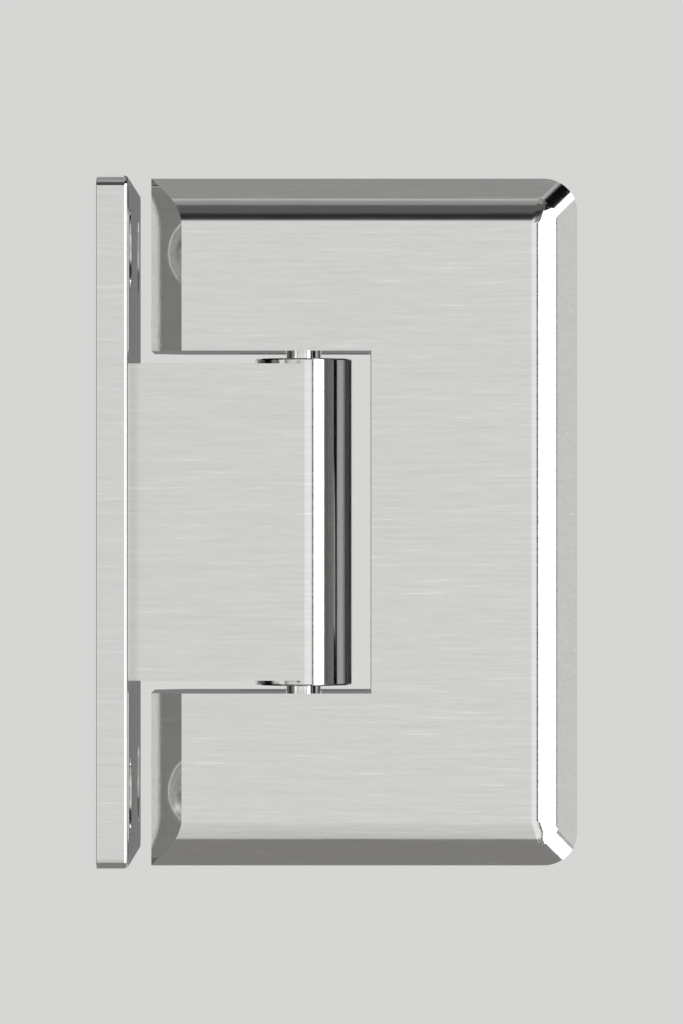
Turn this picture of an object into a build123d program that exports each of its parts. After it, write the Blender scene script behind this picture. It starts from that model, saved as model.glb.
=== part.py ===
from build123d import *
import math
import os

os.makedirs("parts", exist_ok=True)

# Wall-to-glass shower door hinge, closed. All sizes in millimetres.
# X runs away from the wall along the closed door, Y through the glass towards the inside of the
# room, Z up. The origin is the centre of the wall plate's back face.

# Wall plate: a flat bar, its two long edges rounded, its ends cut square.
WALL_PLATE_HEIGHT = 88.2
WALL_PLATE_DEPTH = 50.0
WALL_PLATE_THICKNESS = 4.1
WALL_PLATE_EDGE_RADIUS = 0.6
WALL_PLATE_CORNER_RADIUS = 1.5
WALL_SCREW_SPACING_Y = 32.0
WALL_SCREW_SPACING_Z = 70.0
WALL_SCREW_HOLE_RADIUS = 2.75
WALL_SCREW_HEAD_RADIUS = 5.2

# Knuckle body: the block that stands on the wall plate and ends in the barrel.
PIVOT_REACH = 22.1  # wall plate's face to pivot axis
BARREL_RADIUS = 6.3
BARREL_HEIGHT = 42.6
BARREL_STEP = 0.7  # how far the barrel stands past each end of the block
BARREL_RIM_BREAK = 0.2
BORE_RADIUS = 4.25

# Pivot pin and its bushes.
NECK_RADIUS = 2.35
CAM_BORE_GAP = 0.3
CAM_LENGTH = 32.0
CAM_FLAT_DEPTH = 0.4
CAM_FLAT_LENGTH = 18.0
CAM_EDGE_BREAK = 0.4
PIN_END_FLAT_DEPTH = 0.45
RUNNING_CLEARANCE = 0.05
CAM_END_FLOAT = 0.3

# Detent: a sprung follower bar that presses on the flats of the pin.
FOLLOWER_LENGTH = 16.2
FOLLOWER_WIDTH = 5.8
FOLLOWER_DEPTH = 5.0
FOLLOWER_NOSE_CHAMFER = 0.6
FOLLOWER_SIDE_GAP = 0.1
FOLLOWER_LIFT_GAP = 0.05
SPRING_RADIUS = 2.4
SPRING_WIRE = 0.8
SPRING_TURNS = 5
SPRING_SEAT_GAP = 0.02
SPRING_SPACING = 8.4
SPRING_POCKET_DEPTH = 3.0
SPRING_POCKET_GAP = 0.25

# Glass clamp: two bevelled plates, the front one with the lugs that carry the pin.
CLAMP_HEIGHT = 89.0
CLAMP_WIDTH = 55.2
CLAMP_PLATE_THICKNESS = 5.0
CLAMP_WALL_GAP = 2.4
CLAMP_CORNER_RADIUS = 4.4
GLASS_THICKNESS = 10.0
GASKET_THICKNESS = 1.0
GASKET_INSET = 1.0
NOTCH_DEPTH = 28.5
NOTCH_END_GAP = 0.85  # barrel end to notch edge
BEVEL_WIDTH = 4.0
BEVEL_DEPTH = 3.1
BEVEL_RIDGE_RADIUS = 4.2
BEVEL_BLEND_WIDTH = 2.1

# Lugs and the caps that hold the pin's ends in them.
LUG_HEIGHT = 10.6
LUG_REAR_GAP = 0.3
LUG_END_WALL = 1.2
GASKET_LUG_GAP = 0.6
CAP_THICKNESS = 2.4
CAP_EDGE_WALL = 0.8
CAP_INSET = 0.5
CAP_SIDE_GAP = 0.1
PIN_END_MARGIN = 1.0

# Screws, all with a countersunk head and a hexagon socket.
M5_RADIUS = 2.45
M5_HEAD_RADIUS = 4.7
M5_SOCKET_FLATS = 3.0
M5_SOCKET_DEPTH = 2.2
M3_RADIUS = 1.45
M3_HEAD_RADIUS = 2.55
M3_SOCKET_FLATS = 1.8
M3_SOCKET_DEPTH = 1.0
THREAD_GAP = 0.05
SCREW_HOLE_GAP = 0.3
HEAD_RECESS = 0.1
HEAD_RIM = 0.3
SCREW_TIP_CHAMFER = 0.5
BLIND_HOLE_SPARE = 1.5
BODY_SCREW_LENGTH = 14.0
BODY_SCREW_SPACING = 28.8
CLAMP_SCREW_LENGTH = 16.0
CLAMP_SCREW_SPACING_X = 24.4
CAP_SCREW_LENGTH = 6.0
CAP_SCREW_SPACING = 9.0

# Places that follow from the sizes above.
PIVOT_X = WALL_PLATE_THICKNESS + PIVOT_REACH
BARREL_END = BARREL_HEIGHT / 2
BLOCK_END = BARREL_END - BARREL_STEP
CLAMP_LEFT = WALL_PLATE_THICKNESS + CLAMP_WALL_GAP
CLAMP_RIGHT = CLAMP_LEFT + CLAMP_WIDTH
CLAMP_END = CLAMP_HEIGHT / 2
PLATE_INNER_Y = GLASS_THICKNESS / 2 + GASKET_THICKNESS
PLATE_OUTER_Y = PLATE_INNER_Y + CLAMP_PLATE_THICKNESS
NOTCH_RIGHT = CLAMP_LEFT + NOTCH_DEPTH
NOTCH_END = BARREL_END + NOTCH_END_GAP
LUG_TOP = NOTCH_END + LUG_HEIGHT
LUG_MIDDLE = (NOTCH_END + LUG_TOP) / 2
LUG_REAR_Y = PLATE_INNER_Y - LUG_REAR_GAP
LUG_RIGHT = PIVOT_X + CLAMP_SCREW_SPACING_X / 2 + M5_HEAD_RADIUS + LUG_END_WALL
CAM_RADIUS = BORE_RADIUS - CAM_BORE_GAP
CAM_FLAT_REACH = CAM_RADIUS - CAM_FLAT_DEPTH
PIN_END = LUG_TOP - PIN_END_MARGIN
PIN_FLAT_Y = NECK_RADIUS - PIN_END_FLAT_DEPTH
CAP_SEAT_Y = LUG_REAR_Y - CAP_THICKNESS
CAP_HOLE_RADIUS = M3_HEAD_RADIUS + HEAD_RIM + HEAD_RECESS
CAP_HALF_WIDTH = CAP_SCREW_SPACING / 2 + CAP_HOLE_RADIUS + CAP_EDGE_WALL
NOSE_X = PIVOT_X - CAM_RADIUS - FOLLOWER_LIFT_GAP
FOLLOWER_BACK_X = NOSE_X - FOLLOWER_DEPTH
SPRING_SEAT_X = FOLLOWER_BACK_X + SPRING_POCKET_DEPTH
ENDS = {"upper": 1, "lower": -1}


def block(x, y, z):
    """Return a box given by its low and high place along each axis."""
    middle = Pos((x[0] + x[1]) / 2, (y[0] + y[1]) / 2, (z[0] + z[1]) / 2)
    return middle * Box(x[1] - x[0], y[1] - y[0], z[1] - z[0])


def rod(radius, start, direction, length):
    """Return a round bar from start along direction."""
    base = Plane(origin=start, z_dir=direction)
    return base * Cylinder(radius, length, align=(Align.CENTER, Align.CENTER, Align.MIN))


def turned(points, start, direction):
    """Return a solid turned from (radius, distance) points about a line from start."""
    outline = make_face(Polyline(*[(radius, 0, along) for radius, along in points], close=True))
    return Plane(origin=start, z_dir=direction) * revolve(outline, Axis.Z)


def countersunk_hole(hole_radius, head_radius, start, direction, length):
    """Return the tool for a 90 degree countersunk hole whose mouth is at start."""
    points = [(0, 0), (head_radius, 0), (hole_radius, head_radius - hole_radius)]
    return turned(points + [(hole_radius, length), (0, length)], start, direction)


def flat_head_screw(radius, head_radius, flats, socket_depth, start, direction, length):
    """Return a countersunk screw with a hexagon socket, its head flush at start."""
    neck = HEAD_RIM + head_radius - radius
    tip = length - SCREW_TIP_CHAMFER
    points = [(0, 0), (head_radius, 0), (head_radius, HEAD_RIM), (radius, neck), (radius, tip)]
    screw = turned(points + [(radius - SCREW_TIP_CHAMFER, length), (0, length)], start, direction)
    hexagon = RegularPolygon(flats / 2, 6, major_radius=False)
    return screw - extrude(Plane(origin=start, z_dir=direction) * hexagon, socket_depth)


def m5_screw(start, direction, length):
    """Return one M5 countersunk screw, its head just below the face at start."""
    head = Vector(*start) + Vector(*direction) * HEAD_RECESS
    sizes = (M5_RADIUS, M5_HEAD_RADIUS, M5_SOCKET_FLATS, M5_SOCKET_DEPTH)
    return flat_head_screw(*sizes, tuple(head), direction, length)


def m5_clearance(start, direction, length):
    """Return the countersunk clearance hole that an M5 screw's head sits in."""
    hole_radius = M5_RADIUS + SCREW_HOLE_GAP
    head_radius = M5_HEAD_RADIUS + HEAD_RIM + HEAD_RECESS
    return countersunk_hole(hole_radius, head_radius, start, direction, length)


def wall_plate():
    """The bar on the wall, with four wall screw holes and two for the knuckle's screws."""
    half_y = WALL_PLATE_DEPTH / 2
    half_z = WALL_PLATE_HEIGHT / 2
    plate = block((0, WALL_PLATE_THICKNESS), (-half_y, half_y), (-half_z, half_z))
    plate = fillet(plate.edges().filter_by(Axis.X), WALL_PLATE_CORNER_RADIUS)
    front_edges = plate.faces().sort_by(Axis.X)[-1].edges()
    plate = fillet(front_edges.filter_by(Axis.Z), WALL_PLATE_EDGE_RADIUS)
    for side_y in (-WALL_SCREW_SPACING_Y / 2, WALL_SCREW_SPACING_Y / 2):
        for side_z in (-WALL_SCREW_SPACING_Z / 2, WALL_SCREW_SPACING_Z / 2):
            mouth = (WALL_PLATE_THICKNESS, side_y, side_z)
            radii = (WALL_SCREW_HOLE_RADIUS, WALL_SCREW_HEAD_RADIUS)
            plate -= countersunk_hole(*radii, mouth, (-1, 0, 0), WALL_PLATE_THICKNESS)
    for side in ENDS.values():
        mouth = (0, 0, side * BODY_SCREW_SPACING / 2)
        plate -= m5_clearance(mouth, (1, 0, 0), WALL_PLATE_THICKNESS)
    return plate


def knuckle_body():
    """The block and barrel in one piece, bored for the pin, the follower and its screws."""
    faces_y = (-BARREL_RADIUS, BARREL_RADIUS)
    body = block((WALL_PLATE_THICKNESS, PIVOT_X), faces_y, (-BLOCK_END, BLOCK_END))
    barrel = rod(BARREL_RADIUS, (PIVOT_X, 0, -BARREL_END), (0, 0, 1), BARREL_HEIGHT)
    body += chamfer(barrel.edges().filter_by(GeomType.CIRCLE), BARREL_RIM_BREAK)
    body -= rod(BORE_RADIUS, (PIVOT_X, 0, -BARREL_END), (0, 0, 1), BARREL_HEIGHT)
    half_y = FOLLOWER_WIDTH / 2 + FOLLOWER_SIDE_GAP
    half_z = FOLLOWER_LENGTH / 2 + FOLLOWER_SIDE_GAP
    body -= block((WALL_PLATE_THICKNESS, PIVOT_X), (-half_y, half_y), (-half_z, half_z))
    for side in ENDS.values():
        mouth = (WALL_PLATE_THICKNESS, 0, side * BODY_SCREW_SPACING / 2)
        depth = BODY_SCREW_LENGTH - WALL_PLATE_THICKNESS + BLIND_HOLE_SPARE
        body -= rod(M5_RADIUS + THREAD_GAP, mouth, (1, 0, 0), depth)
    return body


def pivot_pin():
    """The turned pin: two necks, a thicker cam between them and flats for the follower."""
    edge = CAM_RADIUS - CAM_EDGE_BREAK
    half = CAM_LENGTH / 2
    profile = [(0, -PIN_END), (NECK_RADIUS, -PIN_END), (NECK_RADIUS, -half), (edge, -half)]
    profile += [(CAM_RADIUS, -half + CAM_EDGE_BREAK), (CAM_RADIUS, half - CAM_EDGE_BREAK)]
    profile += [(edge, half), (NECK_RADIUS, half), (NECK_RADIUS, PIN_END), (0, PIN_END)]
    pin = turned(profile, (PIVOT_X, 0, 0), (0, 0, 1))
    for turn in (90, 180, 270):
        flat = block(
            (CAM_FLAT_REACH, 2 * CAM_RADIUS),
            (-CAM_RADIUS, CAM_RADIUS),
            (-CAM_FLAT_LENGTH / 2, CAM_FLAT_LENGTH / 2),
        )
        pin -= Pos(PIVOT_X, 0, 0) * Rot(0, 0, turn) * flat
    for side in ENDS.values():
        span_z = sorted((side * (NOTCH_END + CAP_INSET - CAP_SIDE_GAP), side * (PIN_END + 1)))
        span_x = (PIVOT_X - 2 * NECK_RADIUS, PIVOT_X + 2 * NECK_RADIUS)
        pin -= block(span_x, (PIN_FLAT_Y, 2 * NECK_RADIUS), span_z)
    return pin


def bush(side):
    """One plain sleeve, pressed into an end of the barrel's bore."""
    inner_end = CAM_LENGTH / 2 + CAM_END_FLOAT
    length = BARREL_END - inner_end
    start = (PIVOT_X, 0, side * inner_end)
    sleeve = rod(BORE_RADIUS, start, (0, 0, side), length)
    return sleeve - rod(NECK_RADIUS + RUNNING_CLEARANCE, start, (0, 0, side), length)


def detent_follower():
    """The bar that rests on the pin's flats, drawn back here to clear the cam's full round."""
    half_y = FOLLOWER_WIDTH / 2
    half_z = FOLLOWER_LENGTH / 2
    bar = block((FOLLOWER_BACK_X, NOSE_X), (-half_y, half_y), (-half_z, half_z))
    nose = bar.faces().sort_by(Axis.X)[-1]
    bar = chamfer(nose.edges().filter_by(Axis.Z), FOLLOWER_NOSE_CHAMFER)
    for side in ENDS.values():
        mouth = (FOLLOWER_BACK_X, 0, side * SPRING_SPACING / 2)
        bar -= rod(SPRING_RADIUS + SPRING_POCKET_GAP, mouth, (1, 0, 0), SPRING_POCKET_DEPTH)
    return bar


def detent_spring(side):
    """A spring of square wire between the wall plate and the follower's blind hole."""
    coil_radius = SPRING_RADIUS - SPRING_WIRE / 2
    reach = SPRING_SEAT_X - WALL_PLATE_THICKNESS - SPRING_WIRE - 2 * SPRING_SEAT_GAP
    helix = Helix(pitch=reach / SPRING_TURNS, height=reach, radius=coil_radius)
    across = Plane(origin=helix @ 0, x_dir=(1, 0, 0), z_dir=helix % 0)
    wire = sweep(across * Rectangle(SPRING_WIRE, SPRING_WIRE), path=helix, is_frenet=True)
    start_x = WALL_PLATE_THICKNESS + SPRING_WIRE / 2 + SPRING_SEAT_GAP
    start = (start_x, 0, side * SPRING_SPACING / 2)
    return Plane(origin=start, z_dir=(1, 0, 0)) * wire


def bevelled_plate():
    """The front plate's shell: bevelled all round, rounded on the door side, notched."""
    slope = math.atan2(BEVEL_DEPTH, BEVEL_WIDTH)
    flare = BEVEL_WIDTH * CLAMP_PLATE_THICKNESS / BEVEL_DEPTH - BEVEL_WIDTH
    sections = []
    for y, reach in ((-PLATE_INNER_Y, flare), (-PLATE_OUTER_Y, -BEVEL_WIDTH)):
        width = CLAMP_WIDTH + reach
        outline = Rectangle(width, CLAMP_HEIGHT + 2 * reach, align=(Align.MIN, Align.CENTER))
        place = Plane(origin=(CLAMP_LEFT, y, 0), x_dir=(1, 0, 0), z_dir=(0, -1, 0))
        sections.append(place * outline)
    plate = loft(sections, ruled=True)
    ridges = [edge for edge in plate.edges() if min(abs(part) for part in edge % 0.5) > 0.1]
    plate = fillet(ridges, BEVEL_RIDGE_RADIUS)
    face = plate.faces().sort_by(Axis.Y)[0]
    rim = face.edges().sort_by(Axis.X)[1:]
    plate = fillet(rim, BEVEL_BLEND_WIDTH / math.tan(slope / 2))
    half_z = CLAMP_END
    prism = block((CLAMP_LEFT, CLAMP_RIGHT), (-PLATE_OUTER_Y, -PLATE_INNER_Y), (-half_z, half_z))
    corners = prism.edges().filter_by(Axis.Y).sort_by(Axis.X)[2:]
    plate &= fillet(corners, CLAMP_CORNER_RADIUS)
    wedge = Polyline(
        (CLAMP_LEFT, -PLATE_OUTER_Y),
        (CLAMP_LEFT + BEVEL_WIDTH, -PLATE_OUTER_Y),
        (CLAMP_LEFT, -PLATE_OUTER_Y + BEVEL_DEPTH),
        close=True,
    )
    plate -= extrude(Pos(0, 0, -half_z) * make_face(wedge), CLAMP_HEIGHT)
    notch_x = (CLAMP_LEFT - 1, NOTCH_RIGHT)
    return plate - block(notch_x, (-2 * PLATE_OUTER_Y, 0), (-NOTCH_END, NOTCH_END))


def clamp_screw_places(y):
    """Return the four places, on a plane across Y, where the clamp screws stand."""
    half = CLAMP_SCREW_SPACING_X / 2
    return {
        f"{end}_{row}": (PIVOT_X + along, y, side * LUG_MIDDLE)
        for end, side in ENDS.items()
        for row, along in (("near", -half), ("far", half))
    }


def cap_screw_places(side, y):
    """Return the two places, on a plane across Y, where one cap's screws stand."""
    half = CAP_SCREW_SPACING / 2
    return [(PIVOT_X + along, y, side * LUG_MIDDLE) for along in (-half, half)]


def front_plate():
    """The bevelled plate with its two lugs, slotted for the pin and tapped for the screws."""
    plate = bevelled_plate()
    for side in ENDS.values():
        low_z, high_z = sorted((side * NOTCH_END, side * LUG_TOP))
        plate += block((CLAMP_LEFT, LUG_RIGHT), (-PLATE_INNER_Y, LUG_REAR_Y), (low_z, high_z))
        seat = (PIVOT_X, 0, low_z)
        slot_radius = NECK_RADIUS + RUNNING_CLEARANCE
        plate -= rod(slot_radius, seat, (0, 0, 1), LUG_HEIGHT)
        slot_x = (PIVOT_X - slot_radius, PIVOT_X + slot_radius)
        plate -= block(slot_x, (0, PLATE_INNER_Y), (low_z, high_z))
        recess = CAP_HALF_WIDTH + CAP_SIDE_GAP
        recess_x = (PIVOT_X - recess, PIVOT_X + recess)
        plate -= block(recess_x, (CAP_SEAT_Y, PLATE_INNER_Y), (low_z, high_z))
        for place in cap_screw_places(side, CAP_SEAT_Y):
            depth = CAP_SCREW_LENGTH - CAP_THICKNESS + BLIND_HOLE_SPARE
            plate -= rod(M3_RADIUS + THREAD_GAP, place, (0, -1, 0), depth)
    for place in clamp_screw_places(LUG_REAR_Y).values():
        depth = CLAMP_SCREW_LENGTH - (PLATE_OUTER_Y - LUG_REAR_Y) + BLIND_HOLE_SPARE
        plate -= rod(M5_RADIUS + THREAD_GAP, place, (0, -1, 0), depth)
    return plate


def rear_plate():
    """The plate on the inside of the glass, with four countersunk holes."""
    plate = mirror(bevelled_plate(), Plane.XZ)
    for place in clamp_screw_places(PLATE_OUTER_Y).values():
        plate -= m5_clearance(place, (0, -1, 0), CLAMP_PLATE_THICKNESS)
    return plate


def pin_cap(side):
    """The keeper over one end of the pin, its tongue down on the pin's flat."""
    low_z, high_z = sorted((side * (NOTCH_END + CAP_INSET), side * (LUG_TOP - CAP_INSET)))
    cap_x = (PIVOT_X - CAP_HALF_WIDTH, PIVOT_X + CAP_HALF_WIDTH)
    cap = block(cap_x, (CAP_SEAT_Y, LUG_REAR_Y), (low_z, high_z))
    tongue_x = (PIVOT_X - NECK_RADIUS, PIVOT_X + NECK_RADIUS)
    cap += block(tongue_x, (PIN_FLAT_Y, CAP_SEAT_Y), (low_z, high_z))
    for place in cap_screw_places(side, LUG_REAR_Y):
        radii = (M3_RADIUS + SCREW_HOLE_GAP, CAP_HOLE_RADIUS)
        cap -= countersunk_hole(*radii, place, (0, -1, 0), CAP_THICKNESS)
    return cap


def gasket(low_y, high_y):
    """A soft sheet between a plate and the glass, cut out round the lugs."""
    half_z = CLAMP_END - GASKET_INSET
    right = CLAMP_RIGHT - GASKET_INSET
    sheet = block((CLAMP_LEFT + GASKET_INSET, right), (low_y, high_y), (-half_z, half_z))
    corners = sheet.edges().filter_by(Axis.Y).sort_by(Axis.X)[2:]
    sheet = fillet(corners, CLAMP_CORNER_RADIUS - GASKET_INSET)
    opening_z = LUG_TOP + GASKET_LUG_GAP
    opening_x = (0, LUG_RIGHT + GASKET_LUG_GAP)
    return sheet - block(opening_x, (low_y, high_y), (-opening_z, opening_z))


nodes = {
    "wall_plate": wall_plate(),
    "knuckle_body": knuckle_body(),
    "pivot_pin": pivot_pin(),
    "detent_follower": detent_follower(),
    "front_plate": front_plate(),
    "rear_plate": rear_plate(),
    "gasket_front": gasket(-PLATE_INNER_Y, -GLASS_THICKNESS / 2),
    "gasket_rear": gasket(GLASS_THICKNESS / 2, PLATE_INNER_Y),
}
for end, side in ENDS.items():
    nodes[f"bush_{end}"] = bush(side)
    nodes[f"detent_spring_{end}"] = detent_spring(side)
    nodes[f"pin_cap_{end}"] = pin_cap(side)
    mouth = (0, 0, side * BODY_SCREW_SPACING / 2)
    nodes[f"body_screw_{end}"] = m5_screw(mouth, (1, 0, 0), BODY_SCREW_LENGTH)
    for row, place in zip(("near", "far"), cap_screw_places(side, LUG_REAR_Y - HEAD_RECESS)):
        sizes = (M3_RADIUS, M3_HEAD_RADIUS, M3_SOCKET_FLATS, M3_SOCKET_DEPTH)
        screw = flat_head_screw(*sizes, place, (0, -1, 0), CAP_SCREW_LENGTH)
        nodes[f"cap_screw_{end}_{row}"] = screw
for name, place in clamp_screw_places(PLATE_OUTER_Y).items():
    nodes[f"clamp_screw_{name}"] = m5_screw(place, (0, -1, 0), CLAMP_SCREW_LENGTH)

for name, solid in nodes.items():
    export_step(solid, f"parts/{name}.step")
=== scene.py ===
import math

import bpy
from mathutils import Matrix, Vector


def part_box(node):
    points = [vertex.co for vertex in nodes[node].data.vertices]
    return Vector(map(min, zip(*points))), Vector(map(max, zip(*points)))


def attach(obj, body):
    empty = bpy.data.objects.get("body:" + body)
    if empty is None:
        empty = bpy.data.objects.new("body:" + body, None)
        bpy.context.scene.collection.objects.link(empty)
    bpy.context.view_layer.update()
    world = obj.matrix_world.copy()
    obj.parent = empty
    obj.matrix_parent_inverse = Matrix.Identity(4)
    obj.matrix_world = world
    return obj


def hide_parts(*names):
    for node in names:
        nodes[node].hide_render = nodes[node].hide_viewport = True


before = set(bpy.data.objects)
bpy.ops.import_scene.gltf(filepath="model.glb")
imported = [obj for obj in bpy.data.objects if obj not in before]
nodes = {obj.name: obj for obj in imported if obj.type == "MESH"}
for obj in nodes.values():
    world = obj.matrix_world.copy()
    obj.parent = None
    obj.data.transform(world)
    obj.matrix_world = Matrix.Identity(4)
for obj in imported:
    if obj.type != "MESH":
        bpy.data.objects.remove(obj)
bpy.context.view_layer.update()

# Camera.
# A long lens stands square to the closed door, just above the hinge's middle, outside the room.
camera_data = bpy.data.cameras.new("camera")
camera_data.sensor_width = 36.0
camera_data.lens = 223.0
camera = bpy.data.objects.new("camera", camera_data)
camera.location = (0.03115, -0.830, 0.0013)
camera.rotation_euler = (math.radians(90), 0, 0)
bpy.context.scene.collection.objects.link(camera)
bpy.context.scene.camera = camera
bpy.context.scene.view_settings.view_transform = "Standard"

# Studio.
# A pale room with a tall white softbox on the door side, black flags above and beside it, and a
# darker wall on the hinge's own side. Directions are degrees round the hinge and up from level.
world = bpy.data.worlds.new("studio")
bpy.context.scene.world = world
world.use_nodes = True
studio = world.node_tree
studio.nodes.clear()
toward = studio.nodes.new("ShaderNodeTexCoord").outputs["Generated"]
split = studio.nodes.new("ShaderNodeSeparateXYZ")
studio.links.new(toward, split.inputs["Vector"])


def studio_sum(operation, first, second=0.0):
    node = studio.nodes.new("ShaderNodeMath")
    node.operation = operation
    for socket, value in zip(node.inputs, (first, second)):
        if isinstance(value, (int, float)):
            socket.default_value = value
        else:
            studio.links.new(value, socket)
    return node.outputs[0]


def rise(angle, start, end):
    node = studio.nodes.new("ShaderNodeMapRange")
    node.interpolation_type = "SMOOTHSTEP"
    node.inputs["From Min"].default_value = start
    node.inputs["From Max"].default_value = end
    studio.links.new(angle, node.inputs["Value"])
    return node.outputs["Result"]


def card(light, level, sides, heights, soft=2.0):
    """Lay a soft-edged card of the given level over the light that is already there."""
    cover = None
    for angle, (low, high) in ((around, sides), (up, heights)):
        for edge, sign in ((low, 1), (high, -1)):
            if abs(edge) >= 180:
                continue
            step = rise(angle, edge - sign * soft, edge + sign * soft)
            cover = step if cover is None else studio_sum("MULTIPLY", cover, step)
    mix = studio.nodes.new("ShaderNodeMix")
    studio.links.new(cover, mix.inputs["Factor"])
    studio.links.new(light, mix.inputs["A"])
    mix.inputs["B"].default_value = level
    return mix.outputs["Result"]


turn = studio_sum("ARCTAN2", split.outputs["X"], studio_sum("MULTIPLY", split.outputs["Y"], -1.0))
around = studio_sum("MULTIPLY", turn, math.degrees(1))
up = studio_sum("MULTIPLY", studio_sum("ARCSINE", split.outputs["Z"]), math.degrees(1))
light = studio_sum("ADD", studio_sum("MULTIPLY", rise(up, -70, 10), 0.20), 0.58)
light = card(light, 0.79, (-30, 30), (-16, 18), soft=8)
light = card(light, 0.98, (5, 22), (-50, 20), soft=4)
light = card(light, 0.14, (-120, -42), (-60, 60), soft=8)
light = card(light, 0.40, (88, 130), (-60, 60), soft=4)
light = card(light, 0.69, (64, 86), (-45, 10), soft=3)
light = card(light, 0.35, (61, 67), (-50, 24), soft=1.5)
light = card(light, 0.34, (-180, 180), (65, 180), soft=4)
light = card(light, 0.34, (-60, 180), (20, 62), soft=4)
light = card(light, 0.12, (-90, 180), (17, 50), soft=2)
light = card(light, 0.03, (-60, 90), (21, 33), soft=3)
light = card(light, 0.002, (34, 90), (30, 56), soft=2)
light = card(light, 0.03, (20.2, 25), (-60, 20), soft=0.8)
light = card(light, 3.2, (25, 61), (-56, 28), soft=0.8)
light = card(light, 3.2, (55, 78), (11, 26), soft=1.2)
behind = studio_sum("ABSOLUTE", around)
flag = studio_sum("MULTIPLY", rise(behind, 160, 168), rise(studio_sum("ABSOLUTE", up), 16, 10))
dim = studio.nodes.new("ShaderNodeMix")
studio.links.new(flag, dim.inputs["Factor"])
studio.links.new(light, dim.inputs["A"])
dim.inputs["B"].default_value = 0.22
tint = studio.nodes.new("ShaderNodeCombineColor")
for channel, share in (("Red", 1.0), ("Green", 0.995), ("Blue", 0.985)):
    studio.links.new(studio_sum("MULTIPLY", dim.outputs["Result"], share), tint.inputs[channel])
seen = studio.nodes.new("ShaderNodeLightPath")
backdrop = studio.nodes.new("ShaderNodeMix")
backdrop.data_type = "RGBA"
backdrop.inputs["B"].default_value = (0.675, 0.67, 0.66, 1)
studio.links.new(seen.outputs["Is Camera Ray"], backdrop.inputs["Factor"])
studio.links.new(tint.outputs["Color"], backdrop.inputs["A"])
glow = studio.nodes.new("ShaderNodeBackground")
studio.links.new(backdrop.outputs["Result"], glow.inputs["Color"])
room = studio.nodes.new("ShaderNodeOutputWorld")
studio.links.new(glow.outputs["Background"], room.inputs["Surface"])

# Floor.
# A pale round board that lies well below the hinge.
bpy.ops.object.select_all(action="DESELECT")
bpy.ops.mesh.primitive_circle_add(
    vertices=96, radius=0.19, fill_type="NGON", location=(0.03, 0, -0.25),
)
floor = bpy.context.object
floor.name = "floor"
board = bpy.data.materials.new("pale_board")
board.use_nodes = True
board.node_tree.nodes["Principled BSDF"].inputs["Base Color"].default_value = (0.62, 0.615, 0.605, 1)
board.node_tree.nodes["Principled BSDF"].inputs["Roughness"].default_value = 0.9
floor.data.materials.append(board)


# Wall plate and knuckle.
# Solid brass, brushed lengthwise and plated in satin nickel, screwed together from behind. Sharp
# edges are eased a little before plating. The wall plate's faces toward the door carry painted
# shade: their colour is darkened, though the plating there is the same.
EASED_EDGE = 0.00012
MERGE_DISTANCE = 0.000002


def surface_math(tree, operation, first, second=0.0, third=None):
    node = tree.nodes.new("ShaderNodeMath")
    node.operation = operation
    for socket, value in zip(node.inputs, (first, second, third)):
        if isinstance(value, (int, float)):
            socket.default_value = value
        elif value is not None:
            tree.links.new(value, socket)
    return node.outputs[0]


def brush_marks(tree, place, stretch, detail=2.0):
    mapping = tree.nodes.new("ShaderNodeMapping")
    mapping.inputs["Scale"].default_value = stretch
    tree.links.new(place, mapping.inputs["Vector"])
    marks = tree.nodes.new("ShaderNodeTexNoise")
    marks.inputs["Scale"].default_value = 1.0
    marks.inputs["Detail"].default_value = detail
    marks.inputs["Roughness"].default_value = 0.65
    tree.links.new(mapping.outputs["Vector"], marks.inputs["Vector"])
    return marks.outputs["Fac"]


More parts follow.
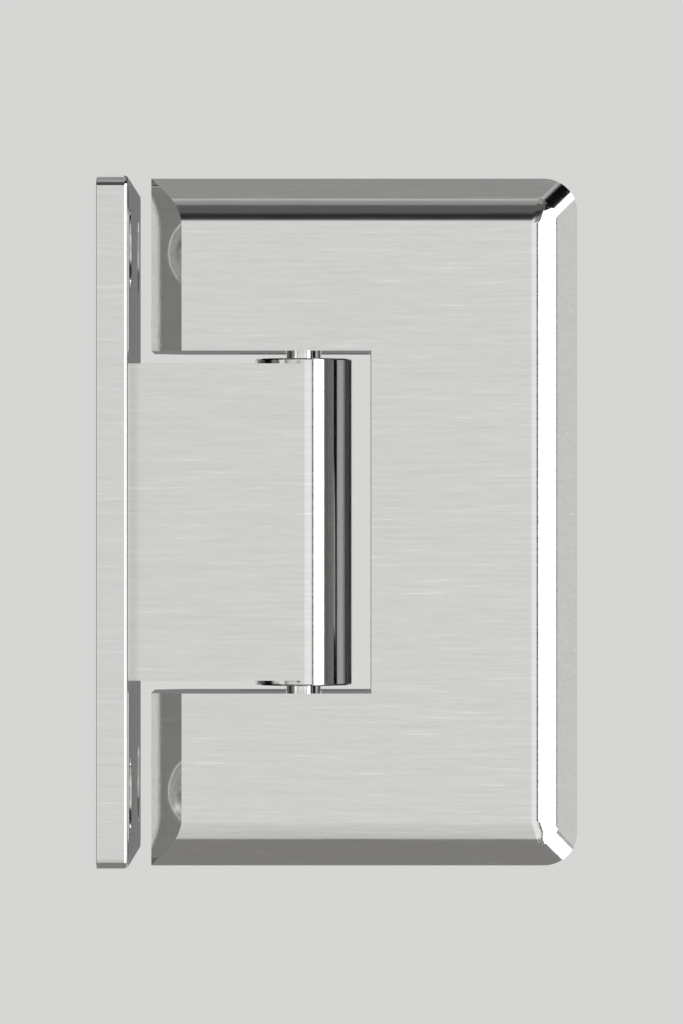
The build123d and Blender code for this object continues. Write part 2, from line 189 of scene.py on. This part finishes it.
def brushed_metal(name, color, brightness, roughness, depth, painted_shade_tone=1.0):
    """A plated metal with brush lines along X, or along Y where the surface faces X.

    The tone given last darkens the surfaces that face the door, +X, as painted shade.
    """
    material = bpy.data.materials.new(name)
    material.use_nodes = True
    tree = material.node_tree
    shader = tree.nodes["Principled BSDF"]
    shader.inputs["Metallic"].default_value = 1.0
    place = tree.nodes.new("ShaderNodeTexCoord").outputs["Object"]
    facing = tree.nodes.new("ShaderNodeSeparateXYZ")
    shape = tree.nodes.new("ShaderNodeNewGeometry")
    tree.links.new(shape.outputs["Normal"], facing.inputs["Vector"])
    side_on = surface_math(tree, "ABSOLUTE", facing.outputs["X"])
    side_on = surface_math(tree, "GREATER_THAN", side_on, 0.8)
    layers = []
    for along, across in ((110, 2300), (420, 5200)):
        mix = tree.nodes.new("ShaderNodeMix")
        tree.links.new(side_on, mix.inputs["Factor"])
        tree.links.new(brush_marks(tree, place, (along, across, across)), mix.inputs["A"])
        tree.links.new(brush_marks(tree, place, (across, along, across)), mix.inputs["B"])
        layers.append(mix.outputs["Result"])
    long_marks, short_marks = layers
    short_share = surface_math(tree, "MULTIPLY", short_marks, 0.4)
    marks = surface_math(tree, "MULTIPLY_ADD", long_marks, 0.6, short_share)
    centred = surface_math(tree, "SUBTRACT", marks, 0.5)
    tone = surface_math(tree, "MULTIPLY_ADD", centred, depth, brightness)
    scratches = surface_math(tree, "MULTIPLY", surface_math(tree, "SUBTRACT", long_marks, 0.66), 0.9)
    tone = surface_math(tree, "ADD", tone, surface_math(tree, "MAXIMUM", scratches, 0.0))
    # Painted shade: surfaces that face +X, the door side, get a darker colour.
    if painted_shade_tone < 1.0:
        painted_shade_mask = surface_math(tree, "GREATER_THAN", facing.outputs["X"], 0.8)
        shade = surface_math(tree, "MULTIPLY_ADD", painted_shade_mask, painted_shade_tone - 1.0, 1.0)
        tone = surface_math(tree, "MULTIPLY", tone, shade)
    tint = tree.nodes.new("ShaderNodeCombineColor")
    for channel, share in zip(("Red", "Green", "Blue"), color):
        tree.links.new(surface_math(tree, "MULTIPLY", tone, share), tint.inputs[channel])
    tree.links.new(tint.outputs["Color"], shader.inputs["Base Color"])
    rough = surface_math(tree, "MULTIPLY_ADD", centred, 0.12, roughness)
    tree.links.new(rough, shader.inputs["Roughness"])
    grain = tree.nodes.new("ShaderNodeBump")
    grain.inputs["Strength"].default_value = 0.25
    grain.inputs["Distance"].default_value = 0.000004
    tree.links.new(marks, grain.inputs["Height"])
    tree.links.new(grain.outputs["Normal"], shader.inputs["Normal"])
    return material


def finished_copy(node):
    """A merged copy of the node's solid with its sharp edges eased, which stands for the node."""
    solid = nodes[node]
    piece = bpy.data.objects.new(node + "_finished", solid.data.copy())
    bpy.context.scene.collection.objects.link(piece)
    bpy.ops.object.select_all(action="DESELECT")
    bpy.context.view_layer.objects.active = piece
    piece.select_set(True)
    bpy.ops.mesh.customdata_custom_splitnormals_clear()
    bpy.ops.object.mode_set(mode="EDIT")
    bpy.ops.mesh.select_all(action="SELECT")
    bpy.ops.mesh.remove_doubles(threshold=MERGE_DISTANCE)
    bpy.ops.mesh.dissolve_limited(angle_limit=math.radians(0.4))
    bpy.ops.object.mode_set(mode="OBJECT")
    bpy.ops.object.shade_smooth()
    eased = piece.modifiers.new("eased_edges", "BEVEL")
    eased.width = EASED_EDGE
    eased.segments = 3
    eased.limit_method = "ANGLE"
    eased.angle_limit = math.radians(28)
    even = piece.modifiers.new("even_faces", "WEIGHTED_NORMAL")
    even.keep_sharp = True
    even.weight = 100
    for modifier in (eased, even):
        bpy.ops.object.modifier_apply(modifier=modifier.name)
    return piece


nickel = brushed_metal("satin_nickel", (1.0, 0.994, 0.982), 0.79, 0.10, 0.22)
# The wall plate's nickel, with painted shade on its faces toward the door.
wall_nickel_painted_shade = brushed_metal(
    "wall_nickel_painted_shade", (1.0, 0.994, 0.982), 0.79, 0.10, 0.22, painted_shade_tone=0.42,
)
for name, finish in (("wall_plate", wall_nickel_painted_shade), ("knuckle_body", nickel)):
    piece = finished_copy(name)
    piece.data.materials.clear()
    piece.data.materials.append(finish)
    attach(piece, "wall_side")
    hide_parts(name)


# Front clamp plate.
# A brass plate, milled with wide rounded bevels on three sides, a plain cut bevel beside the wall
# and a notch for the barrel. Lugs on its back carry the pin.
PLATE_DEPTH = 0.005
BEVEL_WIDTH = 0.004
BEVEL_DEPTH = 0.0031
RIDGE_SET_BACK = 0.0021
CORNER_RADIUS = 0.0044
NOTCH_RIGHT = 0.035
NOTCH_HALF = 0.02215
SIDE_SPARE = 0.01
CUT_SPARE = 0.002
plate_low, plate_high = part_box("front_plate")


def plain_block(low, high):
    bpy.ops.object.select_all(action="DESELECT")
    middle = [(a + b) / 2 for a, b in zip(low, high)]
    size = [b - a for a, b in zip(low, high)]
    bpy.ops.mesh.primitive_cube_add(size=1, location=middle, scale=size)
    bpy.ops.object.transform_apply(location=True, rotation=True, scale=True)
    return bpy.context.object


def pick_edges(piece, wanted):
    """Select, in edit mode, the edges whose two ends pass the test."""
    bpy.ops.mesh.select_mode(type="EDGE")
    bpy.ops.mesh.select_all(action="DESELECT")
    bpy.ops.object.mode_set(mode="OBJECT")
    points = piece.data.vertices
    for edge in piece.data.edges:
        edge.select = wanted(*(points[index].co for index in edge.vertices))
    bpy.ops.object.mode_set(mode="EDIT")


def cut_with(piece, tool, operation):
    bpy.ops.object.select_all(action="DESELECT")
    bpy.context.view_layer.objects.active = piece
    piece.select_set(True)
    cutter = piece.modifiers.new("cut", "BOOLEAN")
    cutter.operation = operation
    cutter.solver = "EXACT"
    cutter.object = tool
    bpy.ops.object.modifier_apply(modifier=cutter.name)
    bpy.data.objects.remove(tool)


def bevelled_plate():
    left, front = plate_low.x, plate_low.y
    back = front + PLATE_DEPTH
    flare = BEVEL_WIDTH * PLATE_DEPTH / BEVEL_DEPTH - BEVEL_WIDTH
    start = left - SIDE_SPARE
    wide, tall = plate_high.x + flare, plate_high.z + flare
    piece = plain_block((start, front, -tall), (wide, back, tall))
    bpy.ops.object.mode_set(mode="EDIT")
    pick_edges(piece, lambda a, b: max(a.y, b.y) < front + 1e-6)
    narrow = (plate_high.x - BEVEL_WIDTH - start) / (wide - start)
    low = (plate_high.z - BEVEL_WIDTH) / tall
    bpy.ops.transform.resize(value=(narrow, 1, low), center_override=(start, front, 0))
    pick_edges(
        piece, lambda a, b: max(a.x, b.x) > start + 1e-6 and min(a.y, b.y) < front + 1e-6,
    )
    bpy.ops.mesh.bevel(offset=RIDGE_SET_BACK, segments=20, profile=0.5, clamp_overlap=False)
    bpy.ops.object.mode_set(mode="OBJECT")
    outline = plain_block(
        (left, front - CUT_SPARE, plate_low.z), (plate_high.x, back, plate_high.z),
    )
    bpy.ops.object.mode_set(mode="EDIT")
    pick_edges(
        outline, lambda a, b: min(a.x, b.x) > left + 1e-6 and abs(a.z - b.z) < 1e-6,
    )
    bpy.ops.mesh.bevel(offset=CORNER_RADIUS, segments=24, profile=0.5)
    bpy.ops.object.mode_set(mode="OBJECT")
    cut_with(piece, outline, "INTERSECT")
    bpy.ops.object.mode_set(mode="EDIT")
    bpy.ops.mesh.select_all(action="SELECT")
    slant = (-BEVEL_DEPTH / BEVEL_WIDTH, -1, 0)
    bevel_foot = (left, front + BEVEL_DEPTH, 0)
    bpy.ops.mesh.bisect(plane_co=bevel_foot, plane_no=slant, use_fill=True, clear_outer=True)
    bpy.ops.object.mode_set(mode="OBJECT")
    notch = plain_block(
        (start, front - CUT_SPARE, -NOTCH_HALF), (NOTCH_RIGHT, back + CUT_SPARE, NOTCH_HALF),
    )
    cut_with(piece, notch, "DIFFERENCE")
    return piece


def finish_plate(piece, name):
    bpy.ops.object.select_all(action="DESELECT")
    bpy.context.view_layer.objects.active = piece
    piece.select_set(True)
    bpy.ops.object.mode_set(mode="EDIT")
    bpy.ops.mesh.select_all(action="SELECT")
    bpy.ops.mesh.remove_doubles(threshold=MERGE_DISTANCE)
    bpy.ops.mesh.normals_make_consistent(inside=False)
    bpy.ops.object.mode_set(mode="OBJECT")
    bpy.ops.object.shade_smooth_by_angle(angle=math.radians(20))
    even = piece.modifiers.new("even_faces", "WEIGHTED_NORMAL")
    even.keep_sharp = True
    even.weight = 100
    bpy.ops.object.modifier_apply(modifier=even.name)
    piece.name = name + "_finished"
    piece.data.materials.clear()
    piece.data.materials.append(nickel)
    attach(piece, "door_clamp")
    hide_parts(name)


front_shell = bevelled_plate()
lugs = bpy.data.objects.new("lugs", nodes["front_plate"].data.copy())
bpy.context.scene.collection.objects.link(lugs)
bpy.ops.object.select_all(action="DESELECT")
bpy.context.view_layer.objects.active = lugs
lugs.select_set(True)
bpy.ops.mesh.customdata_custom_splitnormals_clear()
bpy.ops.object.mode_set(mode="EDIT")
bpy.ops.mesh.select_all(action="SELECT")
bpy.ops.mesh.remove_doubles(threshold=MERGE_DISTANCE)
lug_root = (0, plate_low.y + PLATE_DEPTH, 0)
bpy.ops.mesh.bisect(plane_co=lug_root, plane_no=(0, -1, 0), use_fill=True, clear_outer=True)
bpy.ops.object.mode_set(mode="OBJECT")
bpy.ops.object.select_all(action="DESELECT")
lugs.select_set(True)
front_shell.select_set(True)
bpy.context.view_layer.objects.active = front_shell
bpy.ops.object.join()
finish_plate(front_shell, "front_plate")


# Rear clamp plate.
# The same plate turned over, with four countersunk holes for the screws that pull it onto the
# lugs and so grip the glass.
HEAD_MOUTH = 0.0051
SHANK_HOLE = 0.00275
HOLE_LENGTH = 0.012
rear_shell = bevelled_plate()
bpy.ops.object.mode_set(mode="EDIT")
bpy.ops.mesh.select_all(action="SELECT")
bpy.ops.transform.resize(value=(1, -1, 1), center_override=(0, 0, 0))
bpy.ops.mesh.normals_make_consistent(inside=False)
bpy.ops.object.mode_set(mode="OBJECT")
rear_face = -plate_low.y
for name in nodes:
    if not name.startswith("clamp_screw"):
        continue
    low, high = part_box(name)
    middle = ((low.x + high.x) / 2, rear_face, (low.z + high.z) / 2)
    bpy.ops.object.select_all(action="DESELECT")
    bpy.ops.mesh.primitive_cylinder_add(
        vertices=64, radius=HEAD_MOUTH, depth=HOLE_LENGTH, location=middle,
        rotation=(math.radians(90), 0, 0),
    )
    bpy.ops.object.transform_apply(location=True, rotation=True, scale=True)
    hole = bpy.context.object
    bpy.ops.object.mode_set(mode="EDIT")
    sink = HEAD_MOUTH - SHANK_HOLE
    bpy.ops.mesh.select_all(action="SELECT")
    bpy.ops.mesh.bisect(plane_co=(0, rear_face, 0), plane_no=(0, 1, 0))
    bpy.ops.mesh.select_all(action="SELECT")
    bpy.ops.mesh.bisect(plane_co=(0, rear_face - sink, 0), plane_no=(0, 1, 0))
    pick_edges(hole, lambda a, b: max(a.y, b.y) < rear_face - sink + 1e-6)
    thin = SHANK_HOLE / HEAD_MOUTH
    bpy.ops.transform.resize(value=(thin, 1, thin), center_override=middle)
    bpy.ops.object.mode_set(mode="OBJECT")
    cut_with(rear_shell, hole, "DIFFERENCE")
finish_plate(rear_shell, "rear_plate")


# Pivot pin and pin caps.
# The pin is turned from bar and polished where it shows; its caps are milled and plated alike.
polished = brushed_metal("polished_nickel", (1.0, 0.995, 0.985), 0.84, 0.07, 0.10)
for name in ("pivot_pin", "pin_cap_upper", "pin_cap_lower"):
    nodes[name].data.materials[0] = polished

# Screws.
# Stainless steel socket screws, machine turned, with a fine grain round the head.
screw_steel = brushed_metal("screw_steel", (1.0, 0.985, 0.96), 0.62, 0.22, 0.30)
for name, node in nodes.items():
    if "screw" in name:
        node.data.materials[0] = screw_steel

# Detent follower and springs.
# A hardened steel bar and two oiled wire springs behind it, inside the knuckle.
plain_steel = brushed_metal("plain_steel", (1.0, 0.98, 0.95), 0.50, 0.30, 0.35)
for name in ("detent_follower", "detent_spring_upper", "detent_spring_lower"):
    nodes[name].data.materials[0] = plain_steel


# Gaskets and bushes.
# Sheets of clear grey vinyl that keep the plates off the glass, and sleeves of white nylon.
def soft_plastic(name, dark, pale, roughness, grain_size, clearness):
    material = bpy.data.materials.new(name)
    material.use_nodes = True
    tree = material.node_tree
    shader = tree.nodes["Principled BSDF"]
    place = tree.nodes.new("ShaderNodeTexCoord").outputs["Object"]
    grain = brush_marks(tree, place, (grain_size, grain_size, grain_size), detail=5.0)
    blend = tree.nodes.new("ShaderNodeMix")
    blend.data_type = "RGBA"
    blend.inputs["A"].default_value = (*dark, 1)
    blend.inputs["B"].default_value = (*pale, 1)
    tree.links.new(grain, blend.inputs["Factor"])
    tree.links.new(blend.outputs["Result"], shader.inputs["Base Color"])
    rough = surface_math(tree, "MULTIPLY_ADD", grain, 0.2, roughness)
    tree.links.new(rough, shader.inputs["Roughness"])
    shader.inputs["Subsurface Weight"].default_value = clearness
    shader.inputs["Subsurface Scale"].default_value = 0.001
    relief = tree.nodes.new("ShaderNodeBump")
    relief.inputs["Strength"].default_value = 0.3
    relief.inputs["Distance"].default_value = 0.00002
    tree.links.new(grain, relief.inputs["Height"])
    tree.links.new(relief.outputs["Normal"], shader.inputs["Normal"])
    return material


vinyl = soft_plastic("grey_vinyl", (0.30, 0.31, 0.31), (0.42, 0.43, 0.43), 0.40, 900, 0.15)
nylon = soft_plastic("white_nylon", (0.70, 0.69, 0.65), (0.80, 0.79, 0.75), 0.35, 1500, 0.2)
for name, finish in (
    ("gasket_front", vinyl), ("gasket_rear", vinyl), ("bush_upper", nylon), ("bush_lower", nylon),
):
    nodes[name].data.materials[0] = finish
